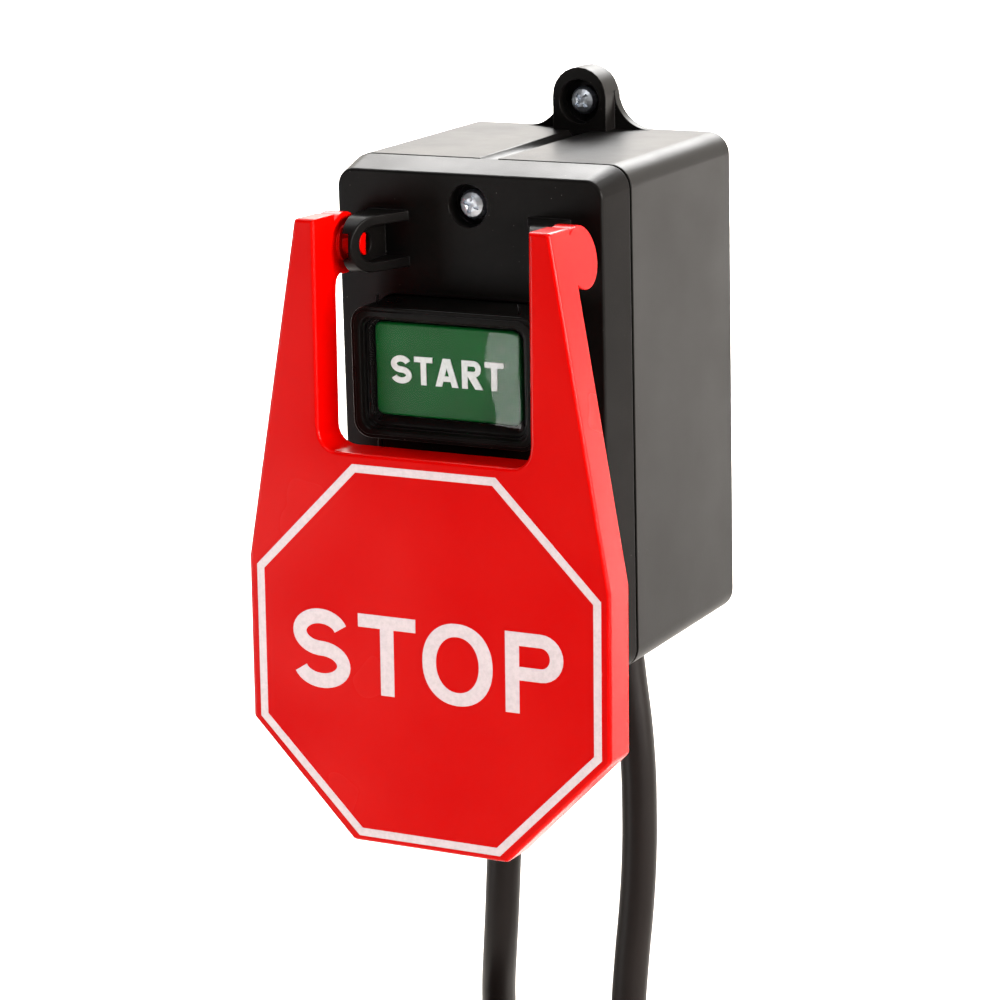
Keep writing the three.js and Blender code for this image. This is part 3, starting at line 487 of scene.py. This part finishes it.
AXES = {"x": Vector((1, 0, 0)), "y": Vector((0, 1, 0)), "z": Vector((0, 0, 1))}


def refined(node, radius_at, largest, material=None, segments=3, cuts=(("x", 0),)):
    """A copy of a CAD node with its flat faces merged and its edges rounded.

    radius_at(middle, direction) gives an edge's radius. Each cut is a plane through the holes in
    the flat faces, so that no merged face is left with a hole in it.
    """
    mesh = bmesh.new()
    mesh.from_mesh(frame["nodes"][node].data)
    bmesh.ops.remove_doubles(mesh, verts=mesh.verts, dist=SAME_CORNER)
    for axis, place in cuts:
        everything = [*mesh.verts, *mesh.edges, *mesh.faces]
        cut = bmesh.ops.bisect_plane(mesh, geom=everything, dist=ON_THE_CUT,
                                     plane_co=AXES[axis] * place * MM, plane_no=AXES[axis])
        for element in cut["geom_cut"]:
            if isinstance(element, bmesh.types.BMEdge):
                element.seam = True
    bmesh.ops.dissolve_limit(mesh, angle_limit=FLAT, verts=mesh.verts, edges=mesh.edges, delimit={"SEAM"})
    weight = mesh.edges.layers.float.new("bevel_weight_edge")
    for face in mesh.faces:
        face.smooth = True
    for edge in mesh.edges:
        if len(edge.link_faces) != 2 or edge.calc_face_angle() < CREASE:
            continue
        a, b = (v.co for v in edge.verts)
        wanted = radius_at((a + b) / 2, (b - a).normalized())
        edge.smooth = wanted > 0
        if has_stray_chord(edge):
            continue
        room = min(room_at_corners(edge), *(room_across(edge, face) for face in edge.link_faces))
        edge[weight] = min(wanted, ROOM_SHARE * room) / largest
    data = bpy.data.meshes.new(node + "_finish")
    mesh.to_mesh(data)
    mesh.free()
    slot = SLOT_OF[node]
    piece = add_piece(node + "_finish", data, material or slot, body_of(node), [node])
    rounded_edges(piece, largest, segments)
    return piece


def softened(node, radius, **options):
    """A refined copy of a CAD node with one radius on all its edges."""
    return refined(node, lambda middle, direction: radius, radius, **options)


def evaluated_mesh(obj):
    """An object's mesh with its modifiers or its curve settings worked out."""
    bpy.context.view_layer.update()
    depsgraph = bpy.context.evaluated_depsgraph_get()
    return bpy.data.meshes.new_from_object(obj.evaluated_get(depsgraph), depsgraph=depsgraph)


# ---------------------------------------------------------------- letters

# Each letter is drawn in a box of width w and height h with strokes of thickness t. It is a list of
# outlines, and an outline inside another one is a hole. The factors in it are its own proportions.


def arc(cx, cz, rx, rz, start, end, steps=14):
    angles = [math.radians(start + (end - start) * i / steps) for i in range(steps + 1)]
    return [(cx + rx * math.cos(a), cz + rz * math.sin(a)) for a in angles]


def stroke_outline(path, thickness):
    """The outline of a stroke drawn along a path of points."""
    left, right = [], []
    for i, (x, z) in enumerate(path):
        x0, z0 = path[max(i - 1, 0)]
        x1, z1 = path[min(i + 1, len(path) - 1)]
        length = math.hypot(x1 - x0, z1 - z0)
        nx, nz = -(z1 - z0) / length * thickness / 2, (x1 - x0) / length * thickness / 2
        left.append((x + nx, z + nz))
        right.append((x - nx, z - nz))
    return left + right[::-1]


def letter_s(w, h, t):
    rx = (w - t) / 2
    rz = (h - t) / 4
    upper = arc(w / 2 - 0.01 * w, h - t / 2 - rz, rx * 0.95, rz, 18, 262, 26)
    lower = arc(w / 2, t / 2 + rz, rx, rz, 82, -162, 26)
    return [stroke_outline(upper + lower, t)]


def letter_t(w, h, t):
    a, b = (w - t) / 2, (w + t) / 2
    bar = h - 0.9 * t
    return [[(0, bar), (a, bar), (a, 0), (b, 0), (b, bar), (w, bar), (w, h), (0, h)]]


def superellipse(cx, cz, rx, rz, power, steps=48):
    points = []
    for i in range(steps):
        a = 2 * math.pi * i / steps
        c, s = math.cos(a), math.sin(a)
        points.append((cx + rx * math.copysign(abs(c) ** (2 / power), c),
                       cz + rz * math.copysign(abs(s) ** (2 / power), s)))
    return points


def letter_o(w, h, t):
    outer = superellipse(w / 2, h / 2, w / 2, h / 2 * 1.02, 2.15)
    inner = superellipse(w / 2, h / 2, w / 2 - t, h / 2 * 1.02 - 0.88 * t, 2.1)
    return [outer, inner]


def bowl(w, h, t, low):
    """The right-hand bowl of a P or R, outside and inside."""
    radius = (h - low) / 2
    thin = 0.9 * t
    outer = arc(w - radius, low + radius, radius, radius, -90, 90)
    inner = arc(w - radius, low + radius, radius - t * 0.95, radius - thin, -90, 90)
    hole = [(t, low + thin)] + inner + [(t, h - thin)]
    return outer, hole


def letter_p(w, h, t):
    low = 0.41 * h
    outer, hole = bowl(w, h, t, low)
    return [[(0, 0), (t, 0), (t, low)] + outer + [(0, h)], hole]


def letter_r(w, h, t):
    low = 0.42 * h
    outer, hole = bowl(w * 0.97, h, t, low)
    start = w - 1.15 * t
    leg = [(start - 0.36 * w, low), (start, 0), (w + 0.06 * w, 0), (0.7 * w, low + 0.04 * h)]
    return [[(0, 0), (t, 0), (t, low)] + leg + outer[2:] + [(0, h)], hole]


def letter_a(w, h, t):
    half = w / 2
    foot = 1.12 * t
    top = 0.66 * t
    bar_low = 0.19 * h
    bar_high = bar_low + 0.85 * t
    slope = (half - top) / h
    inner_left = foot + slope * bar_low
    outline = [(0, 0), (foot, 0), (inner_left, bar_low), (w - inner_left, bar_low), (w - foot, 0), (w, 0),
               (half + top, h), (half - top, h)]
    hole_left = foot + slope * bar_high
    peak = bar_high + (half - hole_left) / slope
    hole = [(hole_left, bar_high), (w - hole_left, bar_high), (half, min(peak, h - 0.9 * t))]
    return [outline, hole]


LETTERS = {"S": letter_s, "T": letter_t, "O": letter_o, "P": letter_p, "R": letter_r, "A": letter_a}


def flat_mesh(name, outlines, thickness, place):
    """Outlines in x and z, filled between them and given a thickness, put in place by a matrix."""
    curve = bpy.data.curves.new(name, "CURVE")
    curve.dimensions = "2D"
    curve.fill_mode = "BOTH"
    curve.extrude = thickness / 2
    for outline in outlines:
        spline = curve.splines.new("POLY")
        spline.points.add(len(outline) - 1)
        for point, (x, z) in zip(spline.points, outline):
            point.co = (x, z, 0, 1)
        spline.use_cyclic_u = True
    carrier = bpy.data.objects.new(name + "_outline", curve)
    bpy.context.scene.collection.objects.link(carrier)
    mesh = evaluated_mesh(carrier)
    bpy.data.objects.remove(carrier)
    bpy.data.curves.remove(curve)
    mesh.name = name
    mesh.transform(place)
    return mesh


def upright(origin):
    """A flat drawing stood up to face -Y: its x stays x and its y becomes z."""
    turn = Matrix(((1, 0, 0, 0), (0, 0, -1, 0), (0, 1, 0, 0), (0, 0, 0, 1)))
    return Matrix.Translation(origin) @ turn


def word_outlines(word, lefts, widths, base, height, thickness):
    """A word's outlines in metres, from each letter's left edge and width in millimetres."""
    outlines = []
    for letter, left, width in zip(word, lefts, widths):
        for outline in LETTERS[letter](width, height, thickness):
            outlines.append([((left + x) * MM, (base + z) * MM) for x, z in outline])
    return outlines


# ---------------------------------------------------------------- paddle

# The paddle's own frame, in millimetres, has its origin on the hinge and is turned by the tilt.
PIVOT = joint_place("paddle_hinge")
PADDLE_TILT = math.radians(1.56)
PADDLE_PLACE = Matrix.Translation(PIVOT) @ Matrix.Rotation(-PADDLE_TILT, 4, "X")
PADDLE_FRONT = -15.1
PADDLE_REAR = -4.8
PADDLE_FACE_BAND = 0.05
ARM_HALF_WIDTH = 30
ARM_INNER_SIDE = 21
HINGE_END = -12
ARM_TOP = 5
SIGN_TOP = -50
PRINT_LIFT = 0.05
SIGN_WIDTH = 93.4
SIGN_MIDDLE = -97.8
SIGN_STRIPE = 2.0
STOP_TEXT = {"lefts": (-37.0, -18.6, -1.0, 21.4), "widths": (16.0, 15.8, 19.0, 15.4), "base": -108.0,
             "height": 20.0, "thickness": 3.7}


def octagon(width):
    """A regular octagon round the sign's middle, in the paddle's frame."""
    across = width / 2
    short = across * math.tan(math.pi / 8)
    corners = [(across, short), (short, across), (-short, across), (-across, short),
               (-across, -short), (-short, -across), (short, -across), (across, -short)]
    return [(x * MM, (z + SIGN_MIDDLE) * MM) for x, z in corners]


def paddle_edge_radius(middle, direction):
    """Wide on the front face, fine at the hinge and in the hollow back, none in the gap's corners."""
    local = PADDLE_PLACE.inverted() @ middle / MM
    on_front = abs(local.y - PADDLE_FRONT) < PADDLE_FACE_BAND
    on_rear = abs(local.y - PADDLE_REAR) < PADDLE_FACE_BAND
    front_to_back = abs(direction.y) > 0.9
    if on_front:
        return BROAD_EDGE
    if abs(local.x) < ARM_HALF_WIDTH and local.z > HINGE_END:
        return FINE_EDGE
    if local.z < SIGN_TOP and not on_rear and not front_to_back:
        return HOLLOW_EDGE
    if front_to_back and local.y < PADDLE_REAR:
        outside = abs(local.x) > ARM_INNER_SIDE or local.z > ARM_TOP
        return OUTER_EDGE if outside else 0.0
    return FULL_EDGE


def make_paddle():
    """The red moulding, and its printed border and word as thin solids on the front face."""
    refined("paddle", paddle_edge_radius, BROAD_EDGE, segments=4)
    lift = PADDLE_PLACE @ Matrix.Translation((0, (PADDLE_FRONT - PRINT_LIFT / 2) * MM, 0))
    place = lift @ upright((0, 0, 0))
    border = [octagon(SIGN_WIDTH), octagon(SIGN_WIDTH - 2 * SIGN_STRIPE)]
    word = word_outlines("STOP", **STOP_TEXT)
    for name, outlines in (("paddle_border", border), ("paddle_word", word)):
        mesh = flat_mesh(name, outlines, PRINT_LIFT * MM, place)
        add_piece(name, mesh, "paddle_print", "paddle")


# ---------------------------------------------------------------- box, bezel and buttons

# In millimetres: how far forward the ears reach, where the cover's lugs are, how far to each side the
# cords come out, and the heights of the bezel's two windows.
EAR_FRONT = -10
LUG_INNER_SIDE = 16
LUG_LOW = 36
LUG_HIGH = 52
LUG_ROOT = -70.8
CORD_SIDE = 17.2
START_WINDOW_MIDDLE = 13.25
STOP_WINDOW_MIDDLE = -19.5


def housing_radius(middle, direction):
    return FINE_EDGE if middle.y > EAR_FRONT * MM else PLAIN_EDGE


def cover_radius(middle, direction):
    beside = abs(middle.x) > LUG_INNER_SIDE * MM
    level = LUG_LOW * MM < middle.z < LUG_HIGH * MM
    ahead = middle.y < LUG_ROOT * MM
    return FULL_EDGE if beside and level and ahead else PLAIN_EDGE


def make_box():
    """The housing, cover and bezel, cut through the holes and windows in their flat faces."""
    cord_holes = (("x", 0), ("x", -CORD_SIDE), ("x", CORD_SIDE), ("z", 0))
    hinge_holes = (("x", 0), ("z", PIVOT.z / MM), ("z", 0))
    windows = (("x", 0), ("z", START_WINDOW_MIDDLE), ("z", STOP_WINDOW_MIDDLE))
    refined("rear_housing", housing_radius, FULL_EDGE, cuts=cord_holes)
    refined("front_cover", cover_radius, FULL_EDGE, cuts=hinge_holes)
    softened("switch_bezel", FULL_EDGE, material="bezel_plastic", cuts=windows)


START_TEXT = {"lefts": (-15.2, -8.8, -3.1, 4.1, 10.3), "widths": (5.6, 5.0, 6.2, 5.3, 5.0), "base": 10.75,
              "height": 6.9, "thickness": 1.5}
LETTER_RISE = 0.25
LETTER_SINK = 0.01


def make_buttons():
    """Both buttons, with the START button's raised word and its clear film."""
    softened("start_button", PLAIN_EDGE)
    softened("stop_button", PLAIN_EDGE)
    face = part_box("start_button")[0].y
    place = upright((0, face - LETTER_RISE * MM / 2 + LETTER_SINK * MM, 0))
    word = word_outlines("START", **START_TEXT)
    mesh = flat_mesh("start_word", word, LETTER_RISE * MM, place)
    add_piece("start_word", mesh, "button_print", "start_button")
    make_film()


# The film is flat up to FILM_BEND, a share of its width that sways by FILM_SWAY from top to bottom.
# Past it the film turns forward over FILM_TURN, up to a slope of FILM_SLOPE.
FILM_SLOPE = 0.17
FILM_BEND = 0.76
FILM_SWAY = 0.03
FILM_TURN = 0.03
FILM_WAVE = 0.04
FILM_BACK = 0.2
FILM_THICKNESS = 0.25
FILM_TRIM = 1.5 * MM
FILM_COLUMNS = 60
FILM_ROWS = 24


def film_forward(u, w, width):
    """How far the film stands ahead of its flat back, at shares u of its width and w of its height."""
    past = max(0.0, u - FILM_BEND - FILM_SWAY * math.sin(6 * w + 0.5))
    lift = FILM_SLOPE * width * past * past / (past + FILM_TURN)
    wave = FILM_WAVE * math.sin(9 * u + 2 * math.sin(7 * w)) * math.sin(5 * w + 1)
    return lift - wave * MM


def make_film():
    """The film over the START button: a thin waved sheet whose right-hand part lifts a little."""
    low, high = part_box("start_button_film")
    low.z += FILM_TRIM
    size = high - low
    mesh = bmesh.new()
    rows = []
    for j in range(FILM_ROWS + 1):
        w = j / FILM_ROWS
        row = []
        for i in range(FILM_COLUMNS + 1):
            u = i / FILM_COLUMNS
            y = low.y + FILM_BACK * MM - film_forward(u, w, size.x)
            row.append(mesh.verts.new((low.x + u * size.x, y, low.z + w * size.z)))
        rows.append(row)
    for lower, upper in zip(rows, rows[1:]):
        for i in range(FILM_COLUMNS):
            face = mesh.faces.new((lower[i], lower[i + 1], upper[i + 1], upper[i]))
            face.smooth = True
    data = bpy.data.meshes.new("start_film")
    mesh.to_mesh(data)
    mesh.free()
    body = body_of("start_button_film")
    film = add_piece("start_film", data, "clear_film", body, ["start_button_film"])
    sheet = film.modifiers.new("thickness", "SOLIDIFY")
    sheet.thickness = FILM_THICKNESS * MM
    sheet.offset = 0


# ---------------------------------------------------------------- cords

CORD = 9.4 * MM

# Both routes, the hank and the tail are in millimetres, as the CAD's are.
LINE_ROUTE = [
    (-17.2, -22, -69), (-17.3, -22, -79), (-17.6, -22, -90), (-18.1, -22, -101), (-18.7, -22, -112),
    (-19.3, -22, -124), (-20.2, -21.8, -136), (-21.5, -20.8, -148), (-23.7, -18.2, -160),
    (-26.5, -14.2, -172), (-28.6, -10.4, -182.8), (-29.6, -8.9, -195), (-30.6, -9.0, -215),
    (-32.2, -9.6, -240), (-34.0, -10.5, -266),
]
LOAD_ROUTE = [
    (17.1, -22, -69), (18.2, -22, -79), (19.4, -22, -89), (20.2, -22, -100), (20.4, -22, -112),
    (20.1, -22, -126), (19.1, -22, -140), (17.6, -22, -154), (16.2, -22, -170), (15.4, -22, -188),
    (15.6, -22, -208), (16.4, -22, -230), (17.6, -22, -254), (18.9, -22, -278), (20, -22, -302),
    (20.7, -22, -326), (21, -22, -350), (21, -22, -375),
]
TAIL_ROUTE = [
    (-35.4, -41.2, -312), (-36.0, -42.2, -340), (-35.4, -42.8, -368), (-34.9, -43, -392),
    (-34.9, -43, -413),
]
# The hank's middle, half its height, the radius of its folds, half its width at the tie, its turns, and
# how far each turn is in front of the last.
HANK = {"x": -30, "y": -10.9, "z": -290, "half": 100, "fold": 29, "pinch": 4.9, "turns": 3, "pitch": 9.7}
LEG_STEPS = 5
FOLD_STEPS = 6


def hank_leg(height):
    """How far a leg of the hank is from its middle, at a height above or below the tie."""
    straight = HANK["half"] - HANK["fold"]
    widening = (1 - math.cos(math.pi * height / straight)) / 2
    return HANK["pinch"] + (HANK["fold"] - HANK["pinch"]) * widening


def hank_turn():
    """One turn of the hank as (x, z) offsets: from the tie down the left leg, round and back."""
    straight = HANK["half"] - HANK["fold"]
    fold = HANK["fold"]
    leg = [straight * step / LEG_STEPS for step in range(LEG_STEPS)]
    down_left = [(-hank_leg(h), -h) for h in leg]
    bottom = [(-fold * math.cos(a), -straight - fold * math.sin(a)) for a in half_turn(FOLD_STEPS)]
    up_right = [(hank_leg(h), -h) for h in reversed(leg[1:])]
    up_right += [(hank_leg(h), h) for h in leg]
    top = [(fold * math.cos(a), straight + fold * math.sin(a)) for a in half_turn(FOLD_STEPS)]
    down_again = [(-hank_leg(h), h) for h in reversed(leg[1:])]
    return down_left + bottom + up_right + top + down_again


def half_turn(steps):
    return [math.pi * step / steps for step in range(steps + 1)]


def line_cord_points():
    """The line cord's whole route: down from the box, round the hank, and on to the plug."""
    points = list(LINE_ROUTE)
    turn = hank_turn()
    for number in range(HANK["turns"]):
        for step, (x, z) in enumerate(turn):
            layer = number + step / len(turn)
            points.append((HANK["x"] + x, HANK["y"] - layer * HANK["pitch"], HANK["z"] + z))
    points.append((HANK["x"] - HANK["pinch"], HANK["y"] - HANK["turns"] * HANK["pitch"], HANK["z"]))
    return points + TAIL_ROUTE


def cord_curve(name, points):
    """A round cord along a route, on the housing."""
    curve = bpy.data.curves.new(name, "CURVE")
    curve.dimensions = "3D"
    curve.bevel_depth = CORD / 2
    curve.bevel_resolution = 5
    curve.use_fill_caps = True
    curve.resolution_u = 6
    spline = curve.splines.new("BEZIER")
    spline.bezier_points.add(len(points) - 1)
    for knot, point in zip(spline.bezier_points, points):
        knot.co = Vector(point) * MM
        knot.handle_left_type = "AUTO"
        knot.handle_right_type = "AUTO"
    curve.materials.append(MATERIALS["black_cord"])
    cord = bpy.data.objects.new(name, curve)
    bpy.context.scene.collection.objects.link(cord)
    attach(cord, "housing")
    return cord


def make_cords():
    """Both cords, with the strain reliefs they come out of, their ends, and the line cord's tie."""
    blades = [softened(f"line_plug_blade_{side}", PLAIN_EDGE) for side in ("left", "right")]
    plug = softened("line_plug_body", CORD_END_EDGE, cuts=(("x", TAIL_ROUTE[-1][0]),))
    connector = softened("load_connector", CORD_END_EDGE, cuts=(("x", LOAD_ROUTE[-1][0]),))
    tie = softened("line_cord_tie", TIE_EDGE, cuts=(("x", HANK["x"]),))
    for cord in ("line", "load"):
        softened(f"{cord}_cord_grip", GRIP_EDGE)

    line = cord_curve("line_cord_jacket", line_cord_points())
    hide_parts("line_cord", "line_cord_hank", "line_cord_tail")

    load = cord_curve("load_cord_jacket", LOAD_ROUTE)
    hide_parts("load_cord")


# ---------------------------------------------------------------- studio

FLOOR_HEIGHT = -0.52
FLOOR_HALF = 15


def make_floor():
    mesh = bpy.data.meshes.new("floor")
    half = FLOOR_HALF
    corners = [(-half, -half), (half, -half), (half, half), (-half, half)]
    mesh.from_pydata([(x, y, FLOOR_HEIGHT) for x, y in corners], [], [(0, 1, 2, 3)])
    mesh.materials.append(floor_paint())
    floor = bpy.data.objects.new("floor", mesh)
    bpy.context.scene.collection.objects.link(floor)


GLOW_BRIGHT = 2.7
GLOW_DIM = 0.08
GLOW_COLOUR = (1.0, 0.94, 0.86, 1)


def make_world():
    """A studio with a low, broad glow behind the starter, and dim overhead and in front of it."""
    world = bpy.data.worlds.new("studio")
    bpy.context.scene.world = world
    world.use_nodes = True
    tree = world.node_tree
    background = tree.nodes["Background"]
    direction = tree.nodes.new("ShaderNodeTexCoord").outputs["Generated"]
    parts = tree.nodes.new("ShaderNodeSeparateXYZ")
    tree.links.new(direction, parts.inputs[0])

    def smooth_step(value, low, high, start, end):
        node = tree.nodes.new("ShaderNodeMapRange")
        node.interpolation_type = "SMOOTHSTEP"
        for key, number in (("From Min", low), ("From Max", high), ("To Min", start), ("To Max", end)):
            node.inputs[key].default_value = number
        tree.links.new(value, node.inputs["Value"])
        return node.outputs["Result"]

    behind = smooth_step(parts.outputs["Y"], 0.1, 0.8, 0, GLOW_BRIGHT - GLOW_DIM)
    low_down = smooth_step(parts.outputs["Z"], 0.55, 0.85, 1, 0.1)
    glow = tree.nodes.new("ShaderNodeMath")
    glow.operation = "MULTIPLY_ADD"
    for socket, value in zip(glow.inputs, (behind, low_down)):
        tree.links.new(value, socket)
    glow.inputs[2].default_value = GLOW_DIM
    background.inputs["Color"].default_value = GLOW_COLOUR
    tree.links.new(glow.outputs[0], background.inputs["Strength"])


def add_light(name, place, target, size, power, colour=(1, 1, 1), spread=180):
    """A rectangular light that faces its target; its size in metres, power in watts, spread in degrees."""
    data = bpy.data.lights.new(name, "AREA")
    data.shape = "RECTANGLE"
    data.size, data.size_y = size
    data.energy = power
    data.color = colour
    data.spread = math.radians(spread)
    light = bpy.data.objects.new(name, data)
    light.location = place
    light.rotation_mode = "QUATERNION"
    light.rotation_quaternion = (Vector(target) - Vector(place)).to_track_quat("-Z", "Y")
    light.visible_camera = False
    bpy.context.scene.collection.objects.link(light)


def make_lights():
    """Soft boxes round the starter, a box that the film mirrors, and one light for the far floor."""
    middle = (0, -0.06, 0)
    add_light("front_key", (0.2, -1.9, 2.0), middle, (1.2, 0.9), 1.8, spread=42)
    add_light("overhead", (-1.1, 0.25, 1.75), middle, (1.1, 1.9), 6, spread=75)
    add_light("rear_soft", (-0.4, 2.2, 1.6), middle, (2.4, 1.0), 24, spread=60)
    add_light("right_fill", (2.2, -0.2, 0.5), middle, (0.9, 1.2), 15, (1, 0.95, 0.9), spread=50)
    add_light("edge_strip", (1.7, -1.25, 0.2), middle, (0.12, 1.2), 2.4, spread=60)
    add_light("film_strip", (-0.84, -0.89, -0.235), (0.012, -0.0845, 0.013), (0.26, 0.44), 1.5, spread=90)
    add_light("floor_wash", (-0.6, 4.2, 2.8), (-0.6, 4.1, FLOOR_HEIGHT), (8, 5.4), 800, spread=70)


def set_colour_view():
    view = bpy.context.scene.view_settings
    view.view_transform = "Standard"
    view.look = "None"
    view.exposure = 0
    view.gamma = 1


# ---------------------------------------------------------------- the whole scene

make_camera()
dress_cad_nodes()
make_cords()
make_paddle()
make_box()
make_buttons()
make_floor()
make_world()
make_lights()
set_colour_view()
